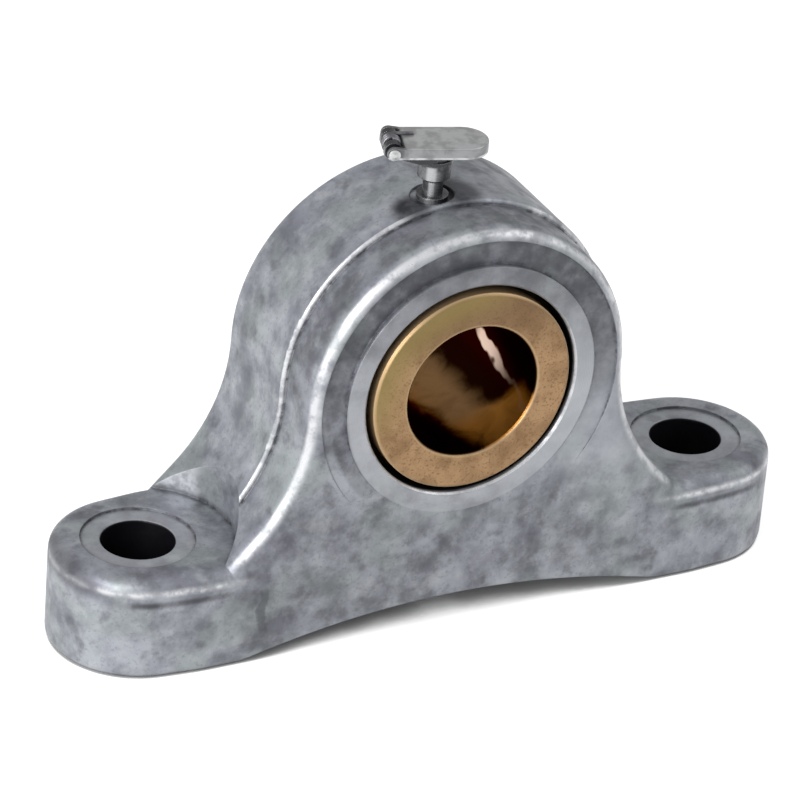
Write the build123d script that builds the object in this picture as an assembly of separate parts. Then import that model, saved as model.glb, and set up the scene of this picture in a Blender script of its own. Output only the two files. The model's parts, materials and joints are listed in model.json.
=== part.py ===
from build123d import *
from math import atan, cos, degrees, radians, sin, sqrt, tan
import os

# Pillow block bearing with a self-aligning bronze bush and a flip-lid oiler.
# Millimetres. X runs along the base, Y along the shaft, Z up from the surface it is bolted to.
# The origin is the middle of the base. The front, with the lip that the bush shows in, faces -Y.

INCH = 25.4

# Bolting down
hole_spacing = 2.75 * INCH
hole_dia = 21 / 64 * INCH
hole_edge_chamfer = 0.15
spotface_dia = 13.0
spotface_depth = 0.3

# Shaft and spherical bush: how far the ball stands out from its round ends, and they from the housing
centre_height = 1.1875 * INCH
shaft_dia = 0.625 * INCH
shaft_clearance = 0.0125
ball_dia = 1.125 * INCH
ball_step = 2.14
bush_stand = 0.25
bush_bore_chamfer = 0.25
bush_rim_chamfer = 0.3

# Seat of the bush in the housing: gaps and depths are measured outwards from the bush or its seat
seat_clearance = 0.04
lip_gap = 0.8
lip_edge_chamfer = 0.25
felt_groove_depth = 2.87
felt_groove_width = 5.2
felt_gap = 0.3
felt_end_gap = 0.05
rear_gap = 0.37

# Retaining ring pressed in behind the bush, the shoulder it rests on, and the stakes that hold it
ring_wall = 3.07
ring_land = 0.92
ring_fit_gap = 0.02
ring_edge_chamfer = 0.3
stake_count = 6
stake_width = 2.6
stake_reach = 0.7
stake_thickness = 0.6
stake_root = 0.3

# Housing casting: its front shell is a little smaller than the rear one that it meets at the parting plane
body_depth = 0.8125 * INCH
rim_wall = 1.3
flare_radius = 22.0
flare_turn = 45.0
front_edge_round = 2.0
rear_edge_round = 1.4
front_shell = 6.52
parting_step = 0.7
parting_round = 0.45

# Ring of metal round the lip, and the cove between it and the rim of the arch.
# The cove is deepest at the top and runs out this far below the shaft axis.
boss_wall = 2.35
cove_width = 3.1
cove_depth = 0.9
cove_draft = 5.0
cove_run_out = 12.0

# Feet
foot_height = 12.4
foot_end_draw = 0.37
foot_flat_end = 31.2
foot_inner_end = 22.0
foot_top_round = 1.8
foot_bottom_round = 1.0
clearance_dia = 22.0

# Underside: a shallow arch between the feet and two cored pockets with a web between them
relief_rise = 3.9
relief_half_width = 28.0
sole_level = 2.3
pocket_wall = 3.0
pocket_web = 3.2
pocket_end = 20.8
pocket_roof = 3.6
pocket_corner_round = 2.5
pocket_draft = 2.0

# Oiler: place on the crest and direction of its lid, then its own sizes
oiler_x = -2.0
oiler_y = -1.0
lid_heading = -18.0
oiler_pad_margin = 0.7
oiler_pad_depth = 0.45
oil_hole_dia = 2.4
plug_gap = 0.02
collar_dia = 3.6
collar_height = 0.6
stem_dia = 2.3
stem_height = 2.3
cup_dia = 3.7
cup_bead_dia = 4.1
cup_bead_height = 0.5
cup_bead_level = 4.6
cup_height = 6.7
cup_round = 0.5
bowl_dia = 2.7
bowl_depth = 3.4
oil_way_dia = 1.2
wick_gap = 0.03
wick_stand = 0.5

# Lid of the oiler, its hinge and spring
lid_nose = 5.8
lid_width = 5.7
lid_thickness = 0.5
lid_rim_depth = 0.8
lid_rim_wall = 0.45
lid_seat_gap = 0.1
lid_edge_round = 0.2
ear_dia = 1.6
hinge_reach = 5.0
hinge_drop = 0.2
hinge_gap = 0.15
knuckle_dia = 2.0
pin_dia = 0.8
pin_head_dia = 1.3
pin_head_height = 0.25
pin_clearance = 0.03
fork_width = 3.9
fork_wall = 0.9
fork_strap = 0.7
spring_wire = 0.4
spring_turns = 3
spring_pitch_gap = 0.04
spring_leg = 2.6

# How far a cut or a joined piece runs past a face, and how far two coordinates of one face may differ
overlap = 1.0
near = 1e-4
BASE = (Align.CENTER, Align.CENTER, Align.MIN)
TOP = (Align.CENTER, Align.CENTER, Align.MAX)

# Values that follow from the ones above
half_depth = body_depth / 2
half_bush = half_depth + bush_stand
bore_r = shaft_dia / 2 + shaft_clearance
ball_r = ball_dia / 2
bush_end_r = ball_r - ball_step
seat_r = ball_r + seat_clearance
lip_r = bush_end_r + lip_gap
groove_r = seat_r + felt_groove_depth
half_groove = felt_groove_width / 2
rear_bore_r = seat_r + rear_gap
ring_r = seat_r + ring_wall
ring_front = half_groove + ring_land
ring_back = half_depth - stake_thickness
boss_r = lip_r + boss_wall
cove_outer_r = boss_r + cove_width
arch_radius = cove_outer_r + rim_wall
crest_r = arch_radius + parting_step
parting_y = front_shell - half_depth
foot_end_radius = half_depth - foot_end_draw
pad_r = collar_dia / 2 + oiler_pad_margin
pad_level = centre_height + sqrt(crest_r**2 - oiler_x**2) - oiler_pad_depth
lid_level = pad_level + cup_height + lid_seat_gap
pin_level = lid_level - hinge_drop
knuckle_r = knuckle_dia / 2
coil_r = hinge_drop + lid_thickness + spring_wire / 2
axle = Pos(0, 0, centre_height)
oiler_frame = Pos(oiler_x, oiler_y, 0) * Rot(0, 0, lid_heading)


def sphere_reach(radius, offset):
    """Radius of a sphere's section at this distance from its middle."""
    return sqrt(radius**2 - offset**2)


def turned(points, arc=None):
    """Solid of revolution about the shaft axis from (radius, y) points.

    arc is (index, radius): the side after that point is a piece of a sphere about the middle.
    """
    sides = []
    for i, start in enumerate(points):
        end = points[(i + 1) % len(points)]
        if arc and i == arc[0]:
            middle_y = (start[1] + end[1]) / 2
            middle = (sphere_reach(arc[1], middle_y), middle_y)
            sides.append(ThreePointArc(start, middle, end))
        else:
            sides.append(Line(start, end))
    return axle * revolve(make_face(sides), Axis.Y)


def elevation(grow):
    """Front outline of the arch and its flares down into the feet, grown outwards by grow."""
    top = centre_height
    radius = arch_radius + grow
    sweep = flare_radius - grow
    turn = radians(flare_turn)
    sink = foot_height - foot_top_round
    knee_x = arch_radius + flare_radius - sweep * cos(turn)
    knee_z = top - sweep * sin(turn)
    toe_x = knee_x + (knee_z - sink) * tan(turn)
    half_x = arch_radius + flare_radius - sweep * cos(turn / 2)
    half_z = top - sweep * sin(turn / 2)
    heel_x = foot_inner_end + overlap
    right = [(knee_x, knee_z), (toe_x, sink), (toe_x, sole_level), (heel_x, sole_level), (heel_x, 0)]
    left = [(-x, z) for x, z in reversed(right)]
    outline = [
        ThreePointArc((-radius, top), (0, top + radius), (radius, top)),
        ThreePointArc((radius, top), (half_x, half_z), (knee_x, knee_z)),
        *Polyline(*right, *left).edges(),
        ThreePointArc((-knee_x, knee_z), (-half_x, half_z), (-radius, top)),
    ]
    return make_face(outline)


def arch_slab(grow, y_start, y_end, start_round, end_round):
    """One half of the casting between two planes across the shaft, with its outline rounded."""
    face = Plane.XZ.offset(-y_start) * elevation(grow)
    slab = extrude(face, -(y_end - y_start))
    above = foot_height - foot_top_round + near
    for y, radius in ((y_start, start_round), (y_end, end_round)):
        if radius:
            rim = [e for e in slab.edges() if abs(e.center().Y - y) < near and e.center().Z > above]
            slab = fillet(rim, radius)
    return slab


def foot(side):
    """One foot: a pad that narrows to a round end about its bolt hole."""
    hole_x = side * hole_spacing / 2
    flat_x = side * (foot_inner_end + foot_flat_end) / 2
    flat = Pos(flat_x, 0) * Rectangle(foot_flat_end - foot_inner_end, body_depth)
    plan = make_hull((flat + Pos(hole_x, 0) * Circle(foot_end_radius)).edges())
    pad = extrude(plan, foot_height)
    for level, radius in ((foot_height, foot_top_round), (0, foot_bottom_round)):
        outer = [e for e in pad.edges() if abs(e.center().X) > foot_inner_end + near]
        rim = [e for e in outer if abs(e.center().Z - level) < near]
        pad = fillet(rim, radius)
    return pad


def bolt_cut(side):
    """Everything cut at one bolt: clearance in the flare, spotface, hole and its broken edge."""
    hole_r = hole_dia / 2
    top = foot_height - spotface_depth
    tall = centre_height
    cut = Pos(0, 0, foot_height) * Cylinder(clearance_dia / 2, tall, align=BASE)
    cut += Pos(0, 0, top) * Cylinder(spotface_dia / 2, tall, align=BASE)
    cut += Pos(0, 0, -overlap) * Cylinder(hole_r, tall, align=BASE)
    edge = Cone(hole_r, hole_r + hole_edge_chamfer, hole_edge_chamfer, align=TOP)
    cut += Pos(0, 0, top) * edge
    return Pos(side * hole_spacing / 2, 0, 0) * cut


def underside_relief():
    """The shallow arch under the base that leaves the two feet to bear."""
    foot_left = (-relief_half_width, 0)
    foot_right = (relief_half_width, 0)
    below = [foot_right, (relief_half_width, -overlap), (-relief_half_width, -overlap), foot_left]
    outline = make_face([ThreePointArc(foot_left, (0, relief_rise), foot_right), *Polyline(*below).edges()])
    return extrude(Plane.XZ * outline, body_depth, both=True)


def pocket(side):
    """One cored pocket under the seat, drawn in towards its roof."""
    length = pocket_end - pocket_web / 2
    width = body_depth - 2 * pocket_wall
    roof = centre_height - groove_r - pocket_roof
    mouth = RectangleRounded(length, width, pocket_corner_round)
    hollow = extrude(mouth, roof, taper=pocket_draft)
    top = hollow.faces().sort_by(Axis.Z)[-1].edges()
    hollow = fillet(top, pocket_corner_round / 2)
    return Pos(side * (pocket_web / 2 + length / 2), 0, 0) * hollow


def cove():
    """Sunk ring in the front face between the boss and the rim of the arch.

    It is turned with its floor in the front face, then tipped in about the line where it runs out.
    Its seam is turned to the bottom, where nothing is cut, clear of the one in the rim.
    """
    front = -half_depth
    reach = cove_depth + overlap
    lean = tan(radians(cove_draft))
    narrow = lean * cove_depth
    wide = lean * (reach - cove_depth)
    ring = turned([
        (boss_r + narrow, front), (cove_outer_r - narrow, front),
        (cove_outer_r + wide, front - reach), (boss_r - wide, front - reach),
    ])
    tip = degrees(atan(cove_depth / (cove_outer_r + cove_run_out)))
    hinge = Pos(0, front, centre_height - cove_run_out)
    seam_down = axle * Rot(0, 90, 0) * axle.inverse()
    return hinge * Rot(-tip, 0, 0) * hinge.inverse() * seam_down * ring


def seat_cavity():
    """The lip, spherical seat, felt groove and rear bore, as one turned cut."""
    lip_y = sphere_reach(seat_r, lip_r)
    front = -half_depth
    points = [
        (0, front - overlap), (lip_r + lip_edge_chamfer + overlap, front - overlap),
        (lip_r, front + lip_edge_chamfer),
        (lip_r, -lip_y), (sphere_reach(seat_r, half_groove), -half_groove),
        (groove_r, -half_groove), (groove_r, half_groove),
        (rear_bore_r, half_groove), (rear_bore_r, ring_front),
        (ring_r, ring_front), (ring_r, half_depth + overlap), (0, half_depth + overlap),
    ]
    return turned(points, arc=(3, seat_r))


def stakes():
    """Metal upset from the rim of the rear bore over the retaining ring."""
    block = Box(stake_width, stake_thickness, stake_reach + stake_root, align=BASE)
    block = fillet(block.edges().filter_by(Axis.Y).group_by(Axis.Z)[0], stake_reach / 2)
    place = Pos(0, ring_back + stake_thickness / 2, ring_r - stake_reach)
    return [axle * Rot(0, 360 / stake_count * i, 0) * place * block for i in range(stake_count)]


def housing():
    front = arch_slab(0, -half_depth, parting_y + overlap, front_edge_round, 0)
    rear = arch_slab(parting_step, parting_y, half_depth, parting_round, rear_edge_round)
    casting = rear + front
    for side in (-1, 1):
        casting += foot(side)
    for side in (-1, 1):
        casting -= bolt_cut(side)
        casting -= pocket(side)
    casting -= underside_relief()
    casting -= cove()
    casting -= seat_cavity()
    for nub in stakes():
        casting += nub
    flat = Cylinder(pad_r, crest_r, align=BASE)
    casting -= Pos(oiler_x, oiler_y, pad_level) * flat
    drill = Cylinder(oil_hole_dia / 2, crest_r, align=BASE)
    casting -= Pos(oiler_x, oiler_y, centre_height) * drill
    return casting


def bushing():
    """Bronze bush: a ball round its middle, round ends and a plain bore."""
    rim_y = half_bush - bush_rim_chamfer
    ball_y = sphere_reach(ball_r, bush_end_r)
    chamfer = bush_bore_chamfer
    points = [
        (bore_r, -half_bush + chamfer), (bore_r + chamfer, -half_bush),
        (bush_end_r - bush_rim_chamfer, -half_bush), (bush_end_r, -rim_y), (bush_end_r, -ball_y),
        (bush_end_r, ball_y), (bush_end_r, rim_y), (bush_end_r - bush_rim_chamfer, half_bush),
        (bore_r + chamfer, half_bush), (bore_r, half_bush - chamfer),
    ]
    return turned(points, arc=(4, ball_r))


def bush_retainer():
    """Ring behind the bush, with the rear half of the spherical seat in it."""
    outer = ring_r - ring_fit_gap
    chamfer = ring_edge_chamfer
    points = [
        (sphere_reach(seat_r, ring_front), ring_front), (outer - chamfer, ring_front),
        (outer, ring_front + chamfer), (outer, ring_back), (lip_r, ring_back),
        (lip_r, sphere_reach(seat_r, lip_r)),
    ]
    return turned(points, arc=(5, seat_r))


def felt_ring():
    """Oil-soaked felt strip round the middle of the bush."""
    inner = ball_r + felt_gap
    outer = groove_r - felt_end_gap
    half = half_groove - felt_end_gap
    return turned([(inner, -half), (outer, -half), (outer, half), (inner, half)])


def oiler_cup():
    """Turned cup with its stem in the drilled hole, and the fork that carries the lid's pin."""
    plug_r = oil_hole_dia / 2 - plug_gap
    plug_depth = pad_level - centre_height - groove_r
    points = [
        (0, -plug_depth), (plug_r, -plug_depth), (plug_r, 0), (collar_dia / 2, 0),
        (collar_dia / 2, collar_height), (stem_dia / 2, collar_height),
        (stem_dia / 2, stem_height), (cup_dia / 2, stem_height + cup_round),
        (cup_dia / 2, cup_bead_level), (cup_bead_dia / 2, cup_bead_level),
        (cup_bead_dia / 2, cup_bead_level + cup_bead_height),
        (cup_dia / 2, cup_bead_level + cup_bead_height), (cup_dia / 2, cup_height), (0, cup_height),
    ]
    body = revolve(Plane.XZ * make_face(Polyline(*points, close=True)), Axis.Z)
    body += fork()
    body -= Pos(0, 0, cup_height - bowl_depth) * Cylinder(bowl_dia / 2, bowl_depth + overlap, align=BASE)
    body -= Pos(0, 0, -plug_depth - overlap) * Cylinder(oil_way_dia / 2, plug_depth + cup_height, align=BASE)
    return oiler_frame * Pos(0, 0, pad_level) * body


def fork():
    """Two cheeks and a strap that reach back from the cup to the pin."""
    pin_z = pin_level - pad_level
    back = -hinge_reach - knuckle_r
    under = pin_z - knuckle_r
    top = pin_z + hinge_drop - hinge_gap
    side = make_face(Polyline(
        (back, pin_z), (back, pin_z - knuckle_r / 2), (-cup_dia / 2, under - fork_strap),
        (0, under - fork_strap), (0, top), (-hinge_reach, top), (-hinge_reach, pin_z), close=True))
    side += Pos(-hinge_reach, pin_z) * Circle(knuckle_r)
    arm = extrude(Plane.XZ * side, fork_width / 2, both=True)
    slot_r = coil_r + spring_wire / 2 + hinge_gap
    slot = Box(2 * slot_r, fork_width - 2 * fork_wall, 2 * slot_r)
    arm -= Pos(-hinge_reach, 0, pin_z) * slot
    hole = Rot(90, 0, 0) * Cylinder(pin_dia / 2 + ring_fit_gap, 2 * fork_width)
    return arm - Pos(-hinge_reach, 0, pin_z) * hole


def oiler_lid():
    """Pressed lid with a turned-down rim, round at the nose, and two ears on the pin."""
    half_width = lid_width / 2
    plate_back = -hinge_reach + knuckle_r + hinge_gap
    length = lid_nose - half_width - plate_back
    plan = Pos(lid_nose - half_width, 0) * Circle(half_width)
    plan += Pos(plate_back + length / 2, 0) * Rectangle(length, lid_width)
    top = extrude(plan, lid_thickness)
    top = fillet(top.faces().sort_by(Axis.Z)[-1].edges(), lid_edge_round)
    inner_half = half_width - lid_rim_wall
    inner = Pos(lid_nose - half_width, 0) * Circle(inner_half)
    inner += Pos(plate_back + length / 2 - overlap / 2, 0) * Rectangle(length + overlap, 2 * inner_half)
    lid = Pos(0, 0, lid_level) * (top + extrude(plan - inner, -lid_rim_depth))
    ear_foot = Pos(plate_back + lid_rim_wall, lid_level + (lid_thickness - lid_rim_depth) / 2)
    flange = ear_foot * Rectangle(2 * lid_rim_wall, lid_thickness + lid_rim_depth - 2 * lid_edge_round)
    ear = make_hull((flange + Pos(-hinge_reach, pin_level) * Circle(ear_dia / 2)).edges())
    for side in (-1, 1):
        start = side * half_width if side > 0 else -inner_half
        lid += extrude(Plane.XZ.offset(-start) * ear, lid_rim_wall)
    hole = Rot(90, 0, 0) * Cylinder(pin_dia / 2 + pin_clearance, 2 * lid_width)
    lid -= Pos(-hinge_reach, 0, pin_level) * hole
    return oiler_frame * lid


def lid_hinge_pin():
    """Riveted pin through the lid's ears and the fork."""
    reach = lid_width / 2 + pin_clearance
    half = make_face(Polyline(
        (0, 0), (pin_dia / 2, 0), (pin_dia / 2, reach), (pin_head_dia / 2, reach),
        (pin_head_dia / 2, reach + pin_head_height / 2), (pin_dia / 4, reach + pin_head_height),
        (0, reach + pin_head_height), close=True))
    pin = revolve(half, Axis.Y) + revolve(mirror(half, Plane.XZ), Axis.Y)
    return oiler_frame * Pos(-hinge_reach, 0, pin_level) * pin


def lid_spring():
    """Torsion spring wound round the pin between the cheeks, with its long leg on top of the lid."""
    pitch = spring_wire + spring_pitch_gap
    height = pitch * spring_turns
    coil = Helix(pitch, height, coil_r)
    leg = Line(coil @ 1, coil @ 1 + (coil % 1) * spring_leg)
    section = Plane(origin=coil @ 0, z_dir=coil % 0) * Circle(spring_wire / 2)
    wire = Pos(0, 0, -height / 2) * sweep(section, Wire([coil, leg]), is_frenet=True)
    upright = Plane(origin=(-hinge_reach, 0, pin_level), x_dir=(0, 0, 1), z_dir=(0, 1, 0))
    return oiler_frame * upright.location * wire


def oil_wick():
    """Felt plug that carries oil from the cup down to the felt ring."""
    radius = oil_way_dia / 2 - wick_gap
    low = centre_height + groove_r
    high = pad_level + cup_height - bowl_depth + wick_stand
    return Pos(oiler_x, oiler_y, low) * Cylinder(radius, high - low, align=BASE)


PIECES = {
    "housing": housing,
    "bushing": bushing,
    "felt_ring": felt_ring,
    "bush_retainer": bush_retainer,
    "oiler_cup": oiler_cup,
    "oil_wick": oil_wick,
    "oiler_lid": oiler_lid,
    "lid_hinge_pin": lid_hinge_pin,
    "lid_spring": lid_spring,
}

os.makedirs("parts", exist_ok=True)
for name, make in PIECES.items():
    export_step(make(), f"parts/{name}.step")
    print("wrote", name)
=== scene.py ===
# %% [markdown]
# A small pillow block bearing, dressed for a studio picture.
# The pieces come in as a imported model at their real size, and they keep their shape.
# What Blender adds is the camera, the light and the finish of every surface: grey die-cast metal with
# a mottled skin, machined rings, oily bronze, dull plated steel and felt.

import json
import math

import bmesh
import bpy
from mathutils import Matrix, Vector


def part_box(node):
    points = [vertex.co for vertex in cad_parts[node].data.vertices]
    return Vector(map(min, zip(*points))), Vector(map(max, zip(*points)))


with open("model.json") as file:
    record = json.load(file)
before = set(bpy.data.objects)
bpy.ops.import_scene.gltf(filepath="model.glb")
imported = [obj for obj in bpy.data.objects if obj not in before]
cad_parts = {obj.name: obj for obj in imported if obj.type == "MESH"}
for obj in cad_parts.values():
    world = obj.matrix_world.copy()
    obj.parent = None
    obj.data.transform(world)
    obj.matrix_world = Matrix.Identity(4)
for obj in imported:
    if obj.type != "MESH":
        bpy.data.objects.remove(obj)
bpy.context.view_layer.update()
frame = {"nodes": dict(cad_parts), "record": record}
nodes = frame["nodes"]
bpy.context.scene.view_settings.view_transform = "Standard"
print("nodes:", ", ".join(sorted(nodes)))

# %% [markdown]
# Every place in this lesson is measured from a few points of the block itself.
# The shaft bore gives the height of the axle. The bolt pattern gives the two holes in the feet.
# They could be typed in again, but when they are read from the model, the finishes stay on the metal if it
# changes.

# %% The places that the finishes are laid out from
MM = 0.001
mounts = {m["name"]: m for m in frame["record"]["mounts"]}
axle_height = mounts["shaft_bore"]["pos_m"][2]
bore_radius = mounts["shaft_bore"]["dims"]["r_mm"] * MM
bolt_x = mounts["bolt_holes"]["dims"]["spacing_x_mm"] / 2 * MM
hole_radius = mounts["bolt_holes"]["dims"]["hole_r_mm"] * MM
front_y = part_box("housing")[0].y
print("axle", round(axle_height / MM, 2), "mm up, front face at", round(front_y / MM, 2), "mm")

# %% [markdown]
# The picture was taken from the front left and above, with a long lens that hardly narrows with distance.
# A Track To constraint could aim the camera, but it can't roll it, and the block leans clockwise in the
# picture. So the camera stands on a line from its target, given by an azimuth and an elevation, and its
# right, up and back directions are worked out and turned by the roll.

# %% Camera
camera_azimuth = math.radians(-28.64)
camera_elevation = math.radians(29.36)
camera_roll = math.radians(4.74)
camera_distance = 556.4 * MM
camera_target = Vector((-3.32, 0, 24.04)) * MM
camera_lens = 222.46
camera_sensor = 36
camera_nearest = 10 * MM


def camera_directions(azimuth, elevation, roll):
    """The camera's right, up and back directions, turned by its roll."""
    flat = math.cos(elevation)
    back = Vector((math.sin(azimuth) * flat, -math.cos(azimuth) * flat, math.sin(elevation)))
    right = Vector((math.cos(azimuth), math.sin(azimuth), 0))
    up = back.cross(right)
    rolled_right = right * math.cos(roll) + up * math.sin(roll)
    rolled_up = up * math.cos(roll) - right * math.sin(roll)
    return rolled_right, rolled_up, back


def add_camera():
    data = bpy.data.cameras.new("camera")
    data.lens = camera_lens
    data.sensor_width = camera_sensor
    data.clip_start = camera_nearest
    camera = bpy.data.objects.new("camera", data)
    right, up, back = camera_directions(camera_azimuth, camera_elevation, camera_roll)
    turn = Matrix((right, up, back)).transposed().to_4x4()
    camera.matrix_world = Matrix.Translation(camera_target + back * camera_distance) @ turn
    bpy.context.scene.collection.objects.link(camera)
    bpy.context.scene.camera = camera
    return camera


camera = add_camera()
print("camera at", [round(v / MM) for v in camera.matrix_world.translation], "mm")

# %% [markdown]
# A material in Blender is a graph of nodes. It could be drawn by hand in the Shader Editor, or written out
# node by node and link by link, which soon hides what it is about. This helper keeps one graph while it is
# laid out, and adds and links its nodes in single calls. In the rest of the lesson f is such a finish.
# Its patterns read Object coordinates. The pieces sit at the origin, so those are metres in the
# block's own frame, and a pattern can be placed by the same numbers as the metal.

# %% A helper for laying out a finish
class Finish:
    """One material, with short names for the nodes that it is made of."""

    def __init__(self, name):
        self.material = bpy.data.materials.new(name)
        self.material.use_nodes = True
        self.tree = self.material.node_tree
        self.surface = self.tree.nodes["Principled BSDF"]
        coordinates = self.add("ShaderNodeTexCoord")
        self.place = coordinates.outputs["Object"]
        self.outwards = coordinates.outputs["Normal"]

    def add(self, kind, **settings):
        node = self.tree.nodes.new(kind)
        for name, value in settings.items():
            setattr(node, name, value)
        return node

    def feed(self, socket, value):
        """Link another node's output to a socket, or set the socket's own value."""
        if isinstance(value, bpy.types.NodeSocket):
            self.tree.links.new(value, socket)
        else:
            socket.default_value = value

    def set(self, **sockets):
        """Put values or outputs on the surface, by socket name with spaces written as _."""
        for name, value in sockets.items():
            if isinstance(value, tuple):
                value = (*value, 1)
            self.feed(self.surface.inputs[name.replace("_", " ")], value)


print("a finish starts from its Object coordinates and the direction that it faces")

# %% [markdown]
# A mask is a number from 0 to 1 that says how much of something a place gets. It could be painted by hand or
# read from an image. Here it is a sum done on the coordinates, which needs no image, stays sharp at any size
# and follows the named measures. The helper gets the few sums that a mask needs: plain arithmetic, a smooth
# step, a band between two values, and the distance from an axis.

# %% Sums for masks
def do_math(self, operation, first, second=0.0):
    node = self.add("ShaderNodeMath", operation=operation)
    self.feed(node.inputs[0], first)
    self.feed(node.inputs[1], second)
    return node.outputs[0]


def ramp(self, value, low, high, start=0.0, end=1.0):
    """Smooth step from start to end while value goes from low to high."""
    node = self.add("ShaderNodeMapRange", interpolation_type="SMOOTHSTEP")
    for i, number in enumerate((value, low, high, start, end)):
        self.feed(node.inputs[i], number)
    return node.outputs[0]


def times(self, first, *others):
    """Product of several masks."""
    for other in others:
        first = self.math("MULTIPLY", first, other)
    return first


def between(self, value, low, high, soft):
    """1 inside the span and 0 outside, fading over soft to either side of each limit."""
    rise = self.ramp(value, low - soft, low + soft)
    fall = self.ramp(value, high - soft, high + soft, 1.0, 0.0)
    return self.times(rise, fall)


def reach(self, first, second, first_middle, second_middle):
    """Distance from an axis that stands at these two coordinates."""
    a = self.math("POWER", self.math("SUBTRACT", first, first_middle), 2)
    b = self.math("POWER", self.math("SUBTRACT", second, second_middle), 2)
    return self.math("SQRT", self.math("ADD", a, b))


def axes(self, vector=None):
    """X, Y and Z of the point that is shaded, or of another vector."""
    node = self.add("ShaderNodeSeparateXYZ")
    self.feed(node.inputs[0], vector or self.place)
    return node.outputs


Finish.math, Finish.ramp, Finish.times = do_math, ramp, times
Finish.between, Finish.reach, Finish.axes = between, reach, axes
print("masks can use", "math, ramp, times, between, reach and axes")

# %% [markdown]
# No real surface is one flat colour. Noise gives the clouds, the grain and the scratches, and Bump turns a
# pattern into small hills for the light without touching the mesh.
# Wear, dirt and shade follow the shape. Dirt and painted shade sit in inner corners and wear shines on outer
# edges, and Ambient Occlusion finds both: it asks how much of the space close to a point is filled with
# metal.
# Turned inside out, it finds the thin edges instead. Pointiness would do it too, but it depends on how fine
# the mesh is. A Bevel node rounds the sharp corners for the light, and leaves the model's mesh as it is.

# %% Patterns that follow the shape
def noise(self, size, detail=4, roughness=0.55, distortion=0.0, stretch=(1, 1, 1), shift=(0, 0, 0)):
    """Cloudy pattern whose features are about size metres across."""
    mapping = self.add("ShaderNodeMapping")
    self.feed(mapping.inputs["Vector"], self.place)
    mapping.inputs["Location"].default_value = shift
    mapping.inputs["Scale"].default_value = stretch
    node = self.add("ShaderNodeTexNoise", noise_dimensions="3D")
    self.feed(node.inputs["Vector"], mapping.outputs[0])
    for name, value in (("Scale", 1 / size), ("Detail", detail), ("Roughness", roughness),
                        ("Distortion", distortion)):
        node.inputs[name].default_value = value
    return node.outputs["Fac"]


def corners(self, distance, inside=False, own=True, samples=6):
    """1 in inner corners, or on outer edges with inside, and 0 on open faces.

    own leaves out what other pieces shade.
    """
    node = self.add("ShaderNodeAmbientOcclusion", samples=samples, inside=inside, only_local=own)
    node.inputs["Distance"].default_value = distance
    return self.math("SUBTRACT", 1.0, node.outputs["AO"])


def rounded(self, radius):
    """Normal of the surface with its sharp edges rounded to this radius."""
    node = self.add("ShaderNodeBevel", samples=4)
    node.inputs["Radius"].default_value = radius
    return node.outputs[0]


def bump(self, height, distance, strength, normal=None):
    """Normal that shows height as small hills, distance high where it is 1."""
    node = self.add("ShaderNodeBump")
    node.inputs["Strength"].default_value = strength
    node.inputs["Distance"].default_value = distance
    self.feed(node.inputs["Height"], height)
    if normal is not None:
        self.feed(node.inputs["Normal"], normal)
    return node.outputs[0]


def mix(self, share, first, second):
    """Colour between first and second by share."""
    node = self.add("ShaderNodeMix", data_type="RGBA", blend_type="MIX", clamp_factor=True)
    self.feed(node.inputs[0], share)
    for socket, colour in ((node.inputs[6], first), (node.inputs[7], second)):
        self.feed(socket, colour if isinstance(colour, bpy.types.NodeSocket) else (*colour, 1))
    return node.outputs[2]


Finish.noise, Finish.corners, Finish.rounded = noise, corners, rounded
Finish.bump, Finish.mix = bump, mix
print("patterns can use", "noise, corners, rounded, bump and mix")

# %% [markdown]
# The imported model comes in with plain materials. Its meshes stay as they are, so a finish goes on by taking
# the plain material out of the mesh and putting the new one in.

# %% Dress a node
def dress(name, material):
    """Give a node of the model its material, in place of the plain one that it came with."""
    mesh = nodes[name].data
    mesh.materials.clear()
    mesh.materials.append(material)
    print(name, "is finished in", material.name)


print(len(nodes), "nodes to dress")

# %% [markdown]
# The block is a pressure die casting in zinc alloy. Its skin is dull grey and cloudy where the metal flowed
# and chilled, with patches that lean to violet and to green from the release oil.
# One noise could be run through a Color Ramp with all these greys, but then each grey would always lie beside
# the same neighbour, and the skin would look printed. Five noises of different size are laid over each other
# instead: clouds, mottle, hue, blotches and grain.

# %% The cast skin
skin_dark = (0.165, 0.174, 0.2)
skin_light = (0.4, 0.42, 0.455)
skin_violet = (0.285, 0.285, 0.345)
skin_green = (0.3, 0.345, 0.33)
skin_blotch = (0.1, 0.102, 0.12)
skin_clean = (0.5, 0.515, 0.54)
skin_pit = (0.14, 0.14, 0.155)
cloud_share = 0.35
mottle_relief = 0.6
grain_relief = 0.3


def skin_layers(f):
    """What lies on the base grey: pattern, where it begins, where it is full, its strength, its colour."""
    hue = f.noise(7 * MM, detail=2, shift=(0.9, 0.4, 0.1))
    blotches = f.noise(3.2 * MM, detail=4, roughness=0.55, shift=(0.2, 0.8, 0.6))
    grain = f.noise(0.45 * MM, detail=3, roughness=0.6, shift=(0.7, 0.2, 0.5))
    layers = ((hue, 0.5, 0.66, 0.45, skin_violet), (hue, 0.5, 0.36, 0.45, skin_green),
              (blotches, 0.49, 0.27, 0.7, skin_blotch), (blotches, 0.54, 0.72, 0.5, skin_clean),
              (grain, 0.46, 0.3, 0.35, skin_pit))
    return layers, grain


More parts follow.
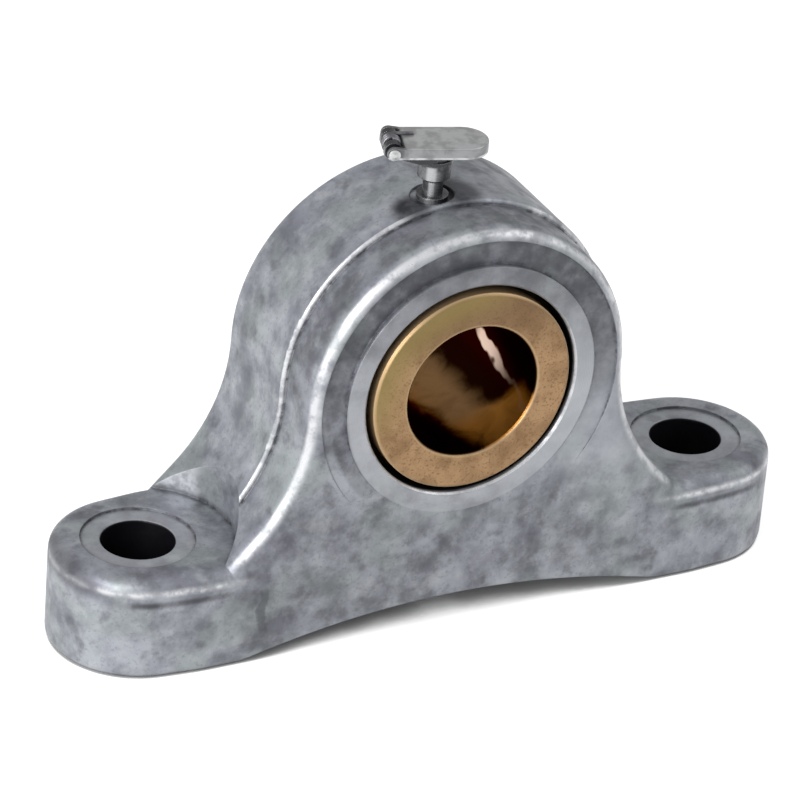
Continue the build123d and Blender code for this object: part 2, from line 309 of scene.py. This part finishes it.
def cast_skin(f):
    """Colour and height of the raw casting, and the mottle that dirt and polish keep to."""
    clouds = f.noise(9 * MM, detail=2, roughness=0.5, distortion=0.3)
    mottle = f.noise(3.4 * MM, detail=5, roughness=0.6, shift=(0.3, 0.1, 0.2))
    layers, grain = skin_layers(f)
    blend = f.math("ADD", f.times(clouds, cloud_share), f.times(mottle, 1 - cloud_share))
    grey = f.mix(f.ramp(blend, 0.32, 0.66), skin_dark, skin_light)
    for pattern, begins, full, strength, colour in layers:
        grey = f.mix(f.ramp(pattern, begins, full, 0.0, strength), grey, colour)
    height = f.math("ADD", f.times(mottle, mottle_relief), f.times(grain, grain_relief))
    return grey, height, mottle


print("skin runs from", skin_dark, "to", skin_light)

# %% [markdown]
# A few places were machined after casting: the ring round the bush and the two spotfaces. They are smoother,
# paler and carry fine turning marks. They could be materials of their own on chosen faces, but the mesh is
# not ours to cut up, so they are found by their distance from the shaft and bolt axes.

# %% The machined places
lip_radius = 12.95 * MM
boss_radius = 15.3 * MM
cove_radius = 18.4 * MM
spotface_radius = 6.5 * MM
spotface_height = 12.1 * MM
turning_pitch = 0.22 * MM
machined_grey = (0.46, 0.475, 0.5)


def on_front(f, y, full, gone):
    """1 on the front face and as far behind it as full, and 0 from gone on."""
    return f.ramp(y, front_y + gone, front_y + full)


def machined_ring(f, from_axle, y):
    """1 on the flat ring round the bush."""
    ring = f.between(from_axle, lip_radius, boss_radius, 0.08 * MM)
    return f.times(ring, on_front(f, y, 0.05 * MM, 0.2 * MM))


def spotfaces(f, from_bolt, z):
    """1 on the floors of the two spotfaces."""
    at_height = f.between(z, spotface_height - 0.25 * MM, spotface_height + 0.08 * MM, 0.04 * MM)
    return f.times(f.between(from_bolt, hole_radius, spotface_radius, 0.08 * MM), at_height)


def turning_marks(f, distance, pitch):
    """Fine waves round an axis, as a lathe leaves them."""
    return f.math("SINE", f.times(distance, 2 * math.pi / pitch))


print("machined ring", round(2 * boss_radius / MM, 1), "mm across")

# %% [markdown]
# Dirt, oil and painted shade make a grey shape readable. A stain could be painted on a texture, but every one
# on this block has a plain reason to be where it is, so each is laid out from that place.
# Real stains are uneven, because oil keeps to the rougher patches of the skin. So most of these are thinned
# where the mottle is light.

# %% Strength and shape of a stain
mottle_dark = 0.35
mottle_light = 0.6


def patchy(f, mottle, most, least):
    """Strength of a stain, from most in the dark of the mottle to least in its light."""
    return f.ramp(mottle, mottle_dark, mottle_light, most, least)


def spot(f, first, second, middle, solid, gone):
    """Round spot, full inside the radius solid and 0 outside the radius gone."""
    return f.ramp(f.reach(first, second, *middle), gone, solid)


def strongest(f, first, *others):
    """The strongest of several masks at each place."""
    for other in others:
        first = f.math("MAXIMUM", first, other)
    return first


print("stains thin out where the mottle is lighter than", mottle_light)

# %% [markdown]
# The cove is the sunk ring round the boss. It is painted dark as shade until it runs out below, and a darker
# smudge carries on round the lower left. The machined ring above the shaft is darker towards the top.
# Behind the bush and down the bolt holes no light reaches. The light alone would leave these places grey,
# because the fill comes from everywhere, so they are painted black as shade. They are rings and spots round
# an axis, and distances from the axes find them.

# %% Painted shade in the cove and the holes, and darker marks beside them
hollow_shade_black = (0.006, 0.006, 0.009)
grime_and_shade_grey = (0.06, 0.06, 0.072)
ring_dark_starts = axle_height - 4 * MM
ring_dark_full = axle_height + 14 * MM
tail_radius = 17.2 * MM
blot_middle = (-10.2 * MM, 15.2 * MM)


def painted_hollow_shade(f, y, from_axle, from_bolt):
    """The insides of the seat and of the bolt holes, painted black as shade."""
    seat = f.times(f.ramp(from_axle, lip_radius, lip_radius + 0.1 * MM, 1.0, 0.0),
                   f.ramp(y, front_y + 0.35 * MM, front_y + 0.8 * MM))
    hole = f.ramp(from_bolt, hole_radius + 0.02 * MM, hole_radius + 0.12 * MM, 1.0, 0.0)
    return strongest(f, seat, hole)


def cove_shade_and_dark_ring(f, y, z, from_axle, mottle):
    """Painted shade on the floor of the cove, and darker metal on the ring above the shaft."""
    floor = f.times(f.between(from_axle, boss_radius, cove_radius, 0.12 * MM),
                    f.ramp(y, front_y + 0.1 * MM, front_y + 0.5 * MM))
    film = f.times(f.between(from_axle, lip_radius, boss_radius, 0.1 * MM),
                   f.ramp(z, ring_dark_starts, ring_dark_full, 0.0, 0.85), on_front(f, y, 0.2 * MM, 0.6 * MM))
    return f.times(strongest(f, floor, film), f.ramp(mottle, 0.3, 0.65, 0.85, 0.55))


def smudges(f, x, y, z, from_axle, mottle):
    """A darker smudge that carries on from the cove round the lower left, and a blot below it."""
    tail = f.times(f.between(from_axle, boss_radius, tail_radius, 0.4 * MM),
                   f.ramp(x, -9 * MM, -11 * MM), f.ramp(z, 17.5 * MM, 19.5 * MM),
                   f.ramp(z, axle_height + 3 * MM, axle_height - 1 * MM))
    blot = spot(f, x, z, blot_middle, 0.6 * MM, 2.4 * MM)
    return f.times(strongest(f, tail, blot), on_front(f, y, 0.2 * MM, 0.6 * MM),
                   patchy(f, mottle, 0.7, 0.4))


print("cove is dark from", round(boss_radius / MM, 1), "to", round(cove_radius / MM, 1), "mm off the axle")

# %% [markdown]
# Each foot carries a dark line just under its rounded rim, and the left one has a blot on its end. A dark
# streak runs down the front beside the left foot. A straight stripe would look ruled, so the mottle pushes
# the streak from side to side on its way down.

# %% Dark marks on the feet
rim_line_height = 9.5 * MM
end_blot_middle = (-44 * MM, 11 * MM)
run_x = -24.2 * MM
run_low = 3.4 * MM
run_high = 9.4 * MM
run_wander = 2.5 * MM


def rim_line(f, x, z, mottle):
    """Dark line under the rounded rim of each foot, and the blot on the end of the left one."""
    band = f.between(z, rim_line_height - 0.35 * MM, rim_line_height + 0.35 * MM, 0.3 * MM)
    from_middle = f.math("ABSOLUTE", x)
    on_foot = f.times(f.ramp(from_middle, 26 * MM, 30 * MM), f.ramp(from_middle, 41.5 * MM, 38 * MM))
    blot = f.times(spot(f, x, z, end_blot_middle, 0.8 * MM, 2.2 * MM), 0.6)
    return strongest(f, f.times(band, on_foot, patchy(f, mottle, 0.95, 0.6)), blot)


def dark_streak_by_foot(f, x, y, z, mottle):
    """The dark streak beside the left foot."""
    pushed_x = f.math("ADD", x, f.times(f.math("SUBTRACT", mottle, 0.5), run_wander))
    run = f.between(pushed_x, run_x - 0.6 * MM, run_x + 0.6 * MM, 0.3 * MM)
    span = f.between(z, run_low, run_high, 0.7 * MM)
    return f.times(run, span, on_front(f, y, 0.1 * MM, 0.6 * MM), 0.7)


print("dried oil from", run_low / MM, "to", run_high / MM, "mm up the front")

# %% [markdown]
# The middle of the front is darker, broadly and softly, and the metal up its right side is lighter. The front
# half of the arch, ahead of the parting plane, wears a thin film of oil, and more oil lies round the oiler,
# where the shadow of the lid is painted on the crest as well. Broad tones like these are weak masks with very
# soft edges. Sharper ones would be read as dents in the shape.

# %% Broad tones on the front, and oil and a painted lid shadow on the crest
oil_and_shadow_dark = (0.022, 0.023, 0.03)
parting_y = front_y + 6.52 * MM
stain_slope = 0.25
pale_middle = (19 * MM, 26 * MM)
spill_middle = (0.6 * MM, -1.4 * MM)
second_spill_middle = (-5.0 * MM, -2.2 * MM)
crest_foot = axle_height + 17 * MM


def low_front_darkening(f, x, y, z, mottle):
    """Soft patch low on the front, which thins out to the right."""
    patch = f.ramp(f.math("ADD", z, f.times(x, stain_slope)), 24 * MM, 12 * MM)
    return f.times(patch, on_front(f, y, 0.1 * MM, 0.5 * MM),
                   f.ramp(f.math("ABSOLUTE", x), 31 * MM, 25 * MM), patchy(f, mottle, 0.42, 0.2))


def pale_side(f, x, y, z):
    """Lighter metal up the right of the front."""
    return f.times(spot(f, x, z, pale_middle, 5 * MM, 15 * MM), on_front(f, y, 1 * MM, 3 * MM), 0.6)


def oil_film(f, y, z, mottle):
    """Thin film on the front half of the arch."""
    band = f.between(y, front_y + 1.8 * MM, parting_y - 0.4 * MM, 0.5 * MM)
    return f.times(band, f.ramp(z, 24 * MM, 32 * MM), patchy(f, mottle, 0.5, 0.25))


def oil_and_lid_shadow(f, x, y, z, mottle):
    """Wet oil on the crest round the oiler, with the shadow of the lid painted in."""
    pools = strongest(f, spot(f, x, y, spill_middle, 1.9 * MM, 3.9 * MM),
                      spot(f, x, y, second_spill_middle, 1.2 * MM, 3 * MM))
    return f.times(pools, f.ramp(z, crest_foot, crest_foot + 1 * MM), patchy(f, mottle, 1.0, 0.8))


print("oil film ends at the parting plane,", round(parting_y / MM, 2), "mm from the middle")

# %% [markdown]
# The outer rounds get a painted highlight in their colour: the front rim of the arch, the small round beside
# the parting plane and the rims of the feet. Ambient Occlusion could find the edges, as on the oiler, but
# these rounds are broad and would come out dull. On the front rounds the surface faces neither straight
# forward nor straight to the side, so the direction it faces finds them. The rims of the feet are found by
# their height.

# %% Painted highlights on the rounds
painted_highlight_grey = (0.7, 0.71, 0.735)
foot_rim = 10.85 * MM
no_highlight_from_x = -5 * MM
no_highlight_to_x = 9 * MM


def front_rounds(f, x, y, z):
    """The front rim of the arch and the round beside the parting plane.

    The second one gets no highlight at the top of the arch, by the oiler.
    """
    forward = f.times(f.axes(f.outwards)["Y"], -1.0)
    step_face = f.between(y, parting_y - 0.05 * MM, parting_y + 0.3 * MM, 0.02 * MM)
    rim = strongest(f, f.between(forward, 0.48, 0.84, 0.12), f.times(step_face, f.ramp(forward, 0.2, 0.4)))
    under_oiler = f.times(step_face, f.between(x, no_highlight_from_x, no_highlight_to_x, 1.5 * MM))
    return f.times(rim, f.math("SUBTRACT", 1.0, under_oiler), f.ramp(z, 12 * MM, 13.5 * MM))


def foot_rounds(f, x, z, from_bolt):
    """The rims of the feet, outside the spotfaces."""
    return f.times(f.between(z, foot_rim - 0.3 * MM, foot_rim + 0.3 * MM, 0.35 * MM),
                   f.ramp(from_bolt, spotface_radius + 0.5 * MM, spotface_radius + 1 * MM),
                   f.ramp(f.math("ABSOLUTE", x), 24 * MM, 31 * MM))


def painted_round_highlights(f, x, y, z, from_bolt):
    """1 where the highlight is painted on the outer rounds, broken up by noise."""
    rounds = strongest(f, front_rounds(f, x, y, z), foot_rounds(f, x, z, from_bolt))
    highlight_breaks = f.noise(1.6 * MM, detail=3, roughness=0.6, shift=(0.5, 0.5, 0.1))
    return f.times(rounds, f.ramp(highlight_breaks, 0.36, 0.58, 0.3, 0.95))


print("feet are rubbed", round(foot_rim / MM, 2), "mm up")

# %% [markdown]
# Now the layers go on one another: the skin, the machined places, the painted highlights on the rounds, and
# last the dirt and the painted shade. Zinc alloy with a dull skin is between metal and paint, so Metallic is
# under a half. The bump is kept shallow, because a casting is smooth to the finger and rough only to a low
# light, and the highlighted rounds and the machined places get less Roughness.

# %% Finish of the casting
casting_metallic = 0.45
casting_round = 0.25 * MM
corner_dirt_and_shade_reach = 1.1 * MM
ring_paler = 0.6
spotface_paler = 0.3
highlighted_rounds_smoother = 0.16
machined_smoother = 0.1


def casting_dirt_and_shade(f, x, y, z, from_axle, mottle):
    """Everything darker: grime and painted shade in the corners, painted shade in the cove, marks on the feet
    and the front.
    """
    settled = f.noise(1.3 * MM, detail=3, shift=(0.1, 0.6, 0.9))
    # grime and painted shade in the inner corners
    in_corners = f.times(f.ramp(f.corners(corner_dirt_and_shade_reach), 0.12, 0.4),
                         f.ramp(settled, 0.38, 0.56, 1.0, 0.55))
    return strongest(f, in_corners, cove_shade_and_dark_ring(f, y, z, from_axle, mottle),
                     smudges(f, x, y, z, from_axle, mottle), rim_line(f, x, z, mottle),
                     low_front_darkening(f, x, y, z, mottle), oil_film(f, y, z, mottle),
                     dark_streak_by_foot(f, x, y, z, mottle))


def cast_metal():
    f = Finish("cast_zinc")
    x, y, z = f.axes()
    from_axle = f.reach(x, z, 0.0, axle_height)
    from_bolt = f.reach(f.math("ABSOLUTE", x), y, bolt_x, 0.0)
    grey, height, mottle = cast_skin(f)
    ring = machined_ring(f, from_axle, y)
    spotface = spotfaces(f, from_bolt, z)
    # the highlights on the outer rounds are painted into the colour
    painted_lit = painted_round_highlights(f, x, y, z, from_bolt)
    for share, colour in ((pale_side(f, x, y, z), skin_light), (f.times(ring, ring_paler), machined_grey),
                          (f.times(spotface, spotface_paler), machined_grey), (painted_lit, painted_highlight_grey),
                          (casting_dirt_and_shade(f, x, y, z, from_axle, mottle), grime_and_shade_grey),
                          (oil_and_lid_shadow(f, x, y, z, mottle), oil_and_shadow_dark),
                          (painted_hollow_shade(f, y, from_axle, from_bolt), hollow_shade_black)):
        grey = f.mix(share, grey, colour)
    skin = f.bump(height, 0.07 * MM, 0.6, f.rounded(casting_round))
    marks = f.times(turning_marks(f, from_axle, turning_pitch), ring)
    machined = f.times(strongest(f, ring, spotface), machined_smoother)
    smoother = strongest(f, f.times(painted_lit, highlighted_rounds_smoother), machined)
    f.set(Base_Color=grey, Metallic=casting_metallic,
          Roughness=f.math("SUBTRACT", f.ramp(mottle, 0.3, 0.7, 0.52, 0.4), smoother),
          Normal=f.bump(marks, 0.01 * MM, 0.5, skin))
    return f.material


dress("housing", cast_metal())

# %% [markdown]
# The bush is turned from porous bronze that holds oil. Its face is a matt tan with open pores and fine rings
# left by the tool. It is darker towards the top and olive on the upper left, and both of its rims carry a
# painted highlight. A brown with some noise would do from afar, but up close it is the order of these zones
# that says bronze, so each has its own colour and mask.

# %% The face of the bush
bronze_dark = (0.25, 0.145, 0.068)
bronze_light = (0.4, 0.25, 0.13)
bronze_shade = (0.17, 0.1, 0.05)
bronze_pore = (0.12, 0.065, 0.025)
bronze_olive = (0.27, 0.2, 0.07)
bronze_rim_highlight = (0.52, 0.36, 0.2)
bush_end_radius = 12.15 * MM


def bronze_face(f, x, z, patina, pores, from_axle):
    """Tan with open pores, darker above, olive on the upper left, and a painted highlight at both rims."""
    tan = f.mix(f.ramp(patina, 0.3, 0.68), bronze_dark, bronze_light)
    above = f.ramp(z, axle_height + 3 * MM, axle_height + 10 * MM, 0.0, 0.75)
    upper_left = f.ramp(f.math("ADD", x, f.math("SUBTRACT", axle_height, z)), -4 * MM, -13 * MM)
    outer = f.ramp(from_axle, bore_radius, bush_end_radius - 0.5 * MM, 0.1, 0.75)
    inner_rim = f.ramp(from_axle, bore_radius + 0.5 * MM, bore_radius + 0.2 * MM, 0.0, 0.7)
    outer_rim = f.ramp(from_axle, bush_end_radius - 0.4 * MM, bush_end_radius)
    for share, colour in ((above, bronze_shade), (f.ramp(pores, 0.48, 0.3, 0.0, 0.5), bronze_pore),
                          (f.times(upper_left, outer), bronze_olive),
                          (strongest(f, inner_rim, outer_rim), bronze_rim_highlight)):
        tan = f.mix(share, tan, colour)
    return tan


print("bush is", round(2 * bush_end_radius / MM, 1), "mm across at its ends")

# %% [markdown]
# The bore is black with oil and with painted shade. A band along its lower side is painted as lit, brown
# inside and amber near the front where the light comes in, and one painted glint runs in beside it. A painted
# image would need a UV map of the tube. Sums need only its two directions: how far round a point lies, in
# degrees from +X, and its Y. In those the sides of the band and the middle of the glint are plain lines,
# which noise makes ragged.

# %% The bore of the bush
lit_bore_amber = (0.52, 0.22, 0.045)
half_lit_bore_brown = (0.31, 0.175, 0.08)
painted_glint_colour = (0.78, 0.6, 0.5)
bore_oil_and_shade_black = (0.016, 0.006, 0.003)
band_low_turn = -90.5
band_low_slope = -1.75 / MM
band_high_turn = -52.0
band_high_turn_in_front = -14.0
glint_turn = -10.5
glint_slope = 1.6 / MM


def painted_lit_band(f, turn, y, patina):
    """The band between two lines on the unrolled wall. It widens towards the front."""
    ragged = f.math("ADD", turn, f.ramp(patina, 0.3, 0.7, -4.0, 4.0))
    high_turn = f.ramp(y, -3 * MM, -9 * MM, band_high_turn, band_high_turn_in_front)
    past_low = f.math("SUBTRACT", f.math("SUBTRACT", ragged, band_low_turn), f.times(y, band_low_slope))
    past_high = f.math("SUBTRACT", ragged, high_turn)
    return f.times(f.ramp(past_low, -9.0, 11.0), f.ramp(past_high, 10.0, -10.0),
                   f.ramp(patina, 0.3, 0.6, 0.75, 1.0))


def painted_glint_streak(f, turn, y):
    """The painted glint along a slanting line. It is widest and brightest inside."""
    off_line = f.math("SUBTRACT", f.math("SUBTRACT", turn, glint_turn), f.times(y, glint_slope))
    off_line = f.math("ADD", off_line, f.ramp(f.noise(2.6 * MM, detail=1), 0.3, 0.7, -3.0, 3.0))
    half_width = f.ramp(y, -6 * MM, 3 * MM, 2.5, 6.5)
    return f.times(f.ramp(f.math("SUBTRACT", f.math("ABSOLUTE", off_line), half_width), 1.5, -1.5),
                   f.ramp(y, -6.5 * MM, 1 * MM, 0.1, 1.0), f.ramp(y, 5 * MM, 2.5 * MM))


def bore_wall(f, x, y, z, patina):
    """Black with oil and painted shade, with the band painted as lit and the painted glint."""
    turn = f.times(f.math("ARCTAN2", f.math("SUBTRACT", z, axle_height), x), math.degrees(1))
    lit_wall = f.mix(f.ramp(y, -2.5 * MM, -7 * MM), half_lit_bore_brown, lit_bore_amber)
    tone = f.mix(painted_lit_band(f, turn, y, patina), bore_oil_and_shade_black, lit_wall)
    return f.mix(painted_glint_streak(f, turn, y), tone, painted_glint_colour)


print("band is rubbed from", band_low_turn, "to", band_high_turn, "degrees round the bore")

# %% [markdown]
# The face and the bore are one piece of metal. Two materials could be put on chosen faces, but one material
# with a mask keeps the rim between them soft. Inside the bore it turns fully metallic and smoother, as wet
# oil is, and reflects brown at a glance instead of white. The outside of the bush goes dark a little way in,
# where oil and shadow hide it.

# %% Finish of the bronze bush
bore_glance = (0.45, 0.2, 0.1)
bronze_metallic = 0.75
bronze_rough = 0.44
bore_rough = 0.3
bronze_round = 0.12 * MM
bronze_pitch = 0.18 * MM


def oily_bronze():
    f = Finish("porous_bronze")
    x, y, z = f.axes()
    from_axle = f.reach(x, z, 0.0, axle_height)
    pores = f.noise(0.28 * MM, detail=2, roughness=0.5)
    patina = f.noise(3.0 * MM, detail=4, distortion=0.5)
    in_bore = f.ramp(from_axle, bore_radius + 0.05 * MM, bore_radius + 0.2 * MM, 1.0, 0.0)
    tan = f.mix(in_bore, bronze_face(f, x, z, patina, pores, from_axle), bore_wall(f, x, y, z, patina))
    # painted shade, with some oil, darkens the outside of the bush a little way in
    inwards = f.ramp(f.math("ABSOLUTE", y), -front_y - 1.2 * MM, -front_y - 3 * MM)
    outside = f.ramp(from_axle, bore_radius + 0.5 * MM, bore_radius + 1 * MM)
    tan = f.mix(f.times(inwards, outside, 0.7), tan, bore_oil_and_shade_black)
    marks = f.times(turning_marks(f, from_axle, bronze_pitch), 0.15)
    height = f.math("ADD", f.times(pores, 0.6), marks)
    f.set(Base_Color=tan, Metallic=f.ramp(in_bore, 0.0, 1.0, bronze_metallic, 1.0),
          Roughness=f.ramp(in_bore, 0.0, 1.0, bronze_rough, bore_rough),
          Specular_Tint=f.mix(in_bore, (1.0, 1.0, 1.0), bore_glance),
          Normal=f.bump(height, 0.03 * MM, 0.6, f.rounded(bronze_round)))
    return f.material


dress("bushing", oily_bronze())

# %% [markdown]
# The ring behind the bush is turned from the same grey alloy, so it has the machined look of the housing's
# front ring: an even grey, fine turning marks, and grime and painted shade in its corners. The casting's
# material could be used again, but it would bring its cloudy skin and its stains along, so the ring has a
# plainer one of its own.

# %% Finish of the ring behind the bush
ring_dark = (0.26, 0.265, 0.28)
ring_light = (0.42, 0.43, 0.45)
ring_pitch = 0.2 * MM


def turned_alloy():
    f = Finish("turned_alloy")
    place = f.axes()
    cloud = f.noise(2.5 * MM, detail=4)
    grey = f.mix(f.ramp(cloud, 0.3, 0.7), ring_dark, ring_light)
    # grime and painted shade in the corners
    grey = f.mix(f.ramp(f.corners(0.8 * MM), 0.3, 0.8, 0.0, 0.8), grey, grime_and_shade_grey)
    marks = turning_marks(f, f.reach(place["X"], place["Z"], 0.0, axle_height), ring_pitch)
    f.set(Base_Color=grey, Metallic=0.7, Roughness=f.ramp(cloud, 0.3, 0.7, 0.34, 0.46),
          Normal=f.bump(marks, 0.008 * MM, 0.6, f.rounded(0.12 * MM)))
    return f.material


dress("bush_retainer", turned_alloy())

# %% [markdown]
# The felt ring and the wick are grey wool soaked in oil, nearly black, and only a little of them can ever be
# seen. Hair particles would be wasted on them. A fine, twisted noise with a strong bump looks like felt at
# this size, and a little Sheen lifts its edges as loose fibres do.

# %% Finish of the felt
felt_dark = (0.025, 0.02, 0.014)
felt_light = (0.085, 0.07, 0.05)


def oiled_felt():
    f = Finish("oiled_felt")
    fibres = f.noise(0.3 * MM, detail=6, roughness=0.75, distortion=1.5)
    f.set(Base_Color=f.mix(f.ramp(fibres, 0.3, 0.7), felt_dark, felt_light), Roughness=0.85,
          Sheen_Weight=0.25, Sheen_Roughness=0.5, Normal=f.bump(fibres, 0.15 * MM, 0.8))
    return f.material


felt = oiled_felt()
dress("felt_ring", felt)
dress("oil_wick", felt)

# %% [markdown]
# The oiler is only a few millimetres high, so its pieces are told apart by where they are dark and where they
# shine. The lower edge of the lid carries a painted highlight, oil gathers at its hinge, and its sides get
# painted shade. The cup gets painted shade round its top under the lid and down its right side, and a painted
# highlight down its front. These masks are kept apart from the steel itself, so that one steel can carry any
# of them.

# %% Oil, painted shade and painted highlights on the oiler
hinge_end = 4.0 * MM
lid_heading = math.radians(-18)
oiler_at = (-2.0 * MM, -1.0 * MM)
lid_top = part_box("oiler_lid")[1].z
lid_edge = lid_top - 1.3 * MM
bead_level = lid_top - 2.7 * MM
bead_fade = 0.5 * MM


def hinge_oil_and_side_shade(f):
    """Oil at the hinge of the lid, and painted shade on its sides."""
    place = f.axes()
    ahead = f.math("ADD", f.times(f.math("SUBTRACT", place["X"], oiler_at[0]), math.cos(lid_heading)),
                   f.times(f.math("SUBTRACT", place["Y"], oiler_at[1]), math.sin(lid_heading)))
    at_hinge = f.ramp(ahead, -hinge_end + 0.6 * MM, -hinge_end - 0.2 * MM, 0.0, 0.75)
    side = f.ramp(f.math("ABSOLUTE", f.axes(f.outwards)["Z"]), 0.3, 0.8, 0.45, 0.0)
    return strongest(f, at_hinge, side)


def lid_rim_highlight(f):
    """A painted highlight on the lower edge of the lid, bright in places."""
    edge = f.between(f.axes()["Z"], lid_edge - 0.1 * MM, lid_edge + 0.14 * MM, 0.06 * MM)
    return f.times(edge, f.ramp(f.noise(1.8 * MM, detail=2, shift=(0.4, 0.1, 0.7)), 0.38, 0.6, 0.1, 0.8))


def cup_painted_shade(f):
    """Painted shade round the top of the cup under the lid, and down its right side."""
    top = f.ramp(f.axes()["Z"], bead_level - bead_fade, bead_level, 0.0, 0.85)
    return strongest(f, top, f.ramp(f.axes(f.outwards)["X"], -0.4, 0.3, 0.0, 0.9))


def cup_painted_highlight(f):
    """A painted highlight down the front of the cup and its stem."""
    facing = f.axes(f.outwards)
    forward = f.math("SUBTRACT", f.times(facing["X"], -0.6), f.times(facing["Y"], 0.8))
    below = f.ramp(f.axes()["Z"], bead_level, bead_level - bead_fade)
    return f.times(f.ramp(forward, 0.92, 0.995), below, 0.5)


print("lid is", round(lid_top / MM, 1), "mm up, and its edge", round(lid_edge / MM, 1), "mm")

# %% [markdown]
# The oiler is plated steel: gone dull and pale on the lid, darker on the cup, with dirt and painted shade in
# every corner.
# The pin is a plain rivet with bright heads, and the spring is drawn wire.
# Four separate materials would repeat the same nodes, so they share one layout with different colours,
# roughness and layers.

# %% Finishes of the oiler
painted_shade_black = (0.03, 0.031, 0.034)
wear_and_highlight_bright = (0.72, 0.73, 0.74)
steel_round = 0.08 * MM


def plated_steel(name, dark, light, rough, layers=()):
    """Steel between two greys, with layers of mask and colour under the dirt, the painted shade in the
    corners and the worn edges.
    """
    f = Finish(name)
    cloud = f.noise(1.6 * MM, detail=3, distortion=0.3)
    scratch = f.noise(0.3 * MM, detail=3, stretch=(0.25, 1, 1))
    tone = f.mix(f.ramp(cloud, 0.36, 0.6), dark, light)
    for mask, colour in layers:
        tone = f.mix(mask(f), tone, colour)
    # grime and painted shade in the corners
    tone = f.mix(f.ramp(f.corners(0.7 * MM), 0.3, 0.75, 0.0, 0.85), tone, grime_and_shade_grey)
    worn = f.ramp(f.corners(0.3 * MM, inside=True), 0.4, 0.8, 0.0, 0.6)
    tone = f.mix(worn, tone, wear_and_highlight_bright)
    f.set(Base_Color=tone, Metallic=0.7, Roughness=f.ramp(scratch, 0.3, 0.7, rough - 0.06, rough + 0.08),
          Normal=f.bump(scratch, 0.012 * MM, 0.5, f.rounded(steel_round)))
    return f.material


dress("oiler_cup", plated_steel("dark_plate", (0.05, 0.051, 0.056), (0.18, 0.183, 0.19), 0.28,
                                layers=((cup_painted_shade, painted_shade_black), (cup_painted_highlight, wear_and_highlight_bright))))
dress("oiler_lid", plated_steel("dull_plate", (0.37, 0.375, 0.37), (0.53, 0.535, 0.54), 0.4,
                                layers=((hinge_oil_and_side_shade, grime_and_shade_grey), (lid_rim_highlight, wear_and_highlight_bright))))
dress("lid_hinge_pin", plated_steel("rivet_steel", (0.32, 0.32, 0.32), (0.55, 0.55, 0.55), 0.3))
dress("lid_spring", plated_steel("spring_wire", (0.1, 0.1, 0.11), (0.24, 0.24, 0.26), 0.35))

# %% [markdown]
# The floor is a plain pale sheet that runs out of the picture. Stronger lamps could turn it white, but they
# would bleach the metal too. So the floor glows to the camera and in reflections only, and throws no light on
# matt surfaces. The glow dies away under the block, where Ambient Occlusion finds little open sky, so the
# shadow of the arch and the feet stays.

# %% Floor
floor_half = 2.0
floor_grey = 0.5
floor_glow = 0.75
shadow_reach = 14 * MM


def pale_floor():
    f = Finish("pale_floor")
    seen = f.add("ShaderNodeLightPath").outputs
    by_eye = strongest(f, seen["Is Camera Ray"], seen["Is Glossy Ray"], seen["Is Transmission Ray"])
    open_sky = f.ramp(f.corners(shadow_reach, own=False, samples=24), 0.66, 0.53)
    f.set(Base_Color=(floor_grey, floor_grey, floor_grey), Roughness=0.9, Specular_IOR_Level=0.1,
          Emission_Color=(1.0, 1.0, 1.0), Emission_Strength=f.times(by_eye, open_sky, floor_glow))
    return f.material


def add_floor():
    mesh = bpy.data.meshes.new("floor")
    sheet = bmesh.new()
    bmesh.ops.create_grid(sheet, x_segments=1, y_segments=1, size=floor_half)
    sheet.to_mesh(mesh)
    sheet.free()
    mesh.materials.append(pale_floor())
    floor = bpy.data.objects.new("floor", mesh)
    bpy.context.scene.collection.objects.link(floor)


add_floor()
print("floor", 2 * floor_half, "m wide")

# %% [markdown]
# The world is an even pale grey, the soft fill of a studio with light walls. An environment image would give
# richer reflections, but the metal is dull enough to do without, and nothing has to be read from disk.

# %% World
fill_level = 0.52


def add_world():
    world = bpy.data.worlds.new("studio")
    world.use_nodes = True
    background = world.node_tree.nodes["Background"]
    background.inputs["Color"].default_value = (1, 1, 1, 1)
    background.inputs["Strength"].default_value = fill_level
    bpy.context.scene.world = world


add_world()
print("fill at", fill_level)

# %% [markdown]
# Two soft boxes light the block. The large key box stands to the left and a little in front, where the bright
# lines along the rims of the arch and the feet say that it was. A weaker one opens the shadows on the right.
# Point lamps or a sun would cast hard shadows that the picture doesn't have.

# %% Soft boxes
box_distance = 0.5
aim_height = axle_height * 0.7


def add_soft_box(name, heading, height, size, strength):
    """A square area light that faces the block from a heading and a height in degrees."""
    data = bpy.data.lights.new(name, "AREA")
    data.shape = "SQUARE"
    data.size = size
    data.energy = strength
    box = bpy.data.objects.new(name, data)
    heading, height = math.radians(heading), math.radians(height)
    away = Vector((math.sin(heading) * math.cos(height), -math.cos(heading) * math.cos(height),
                   math.sin(height)))
    turn = away.to_track_quat("Z", "Y").to_matrix().to_4x4()
    box.matrix_world = Matrix.Translation(Vector((0, 0, aim_height)) + away * box_distance) @ turn
    bpy.context.scene.collection.objects.link(box)
    print(name, "gives", strength, "W from", [round(v, 2) for v in box.matrix_world.translation])


add_soft_box("key_box", heading=-64, height=27, size=0.32, strength=2.2)
add_soft_box("fill_box", heading=60, height=35, size=0.3, strength=0.4)

# %% [markdown]
# Finishes add nothing to the shape, so the dressed block is as large as the imported one.

# %% End
print("the block is dressed")
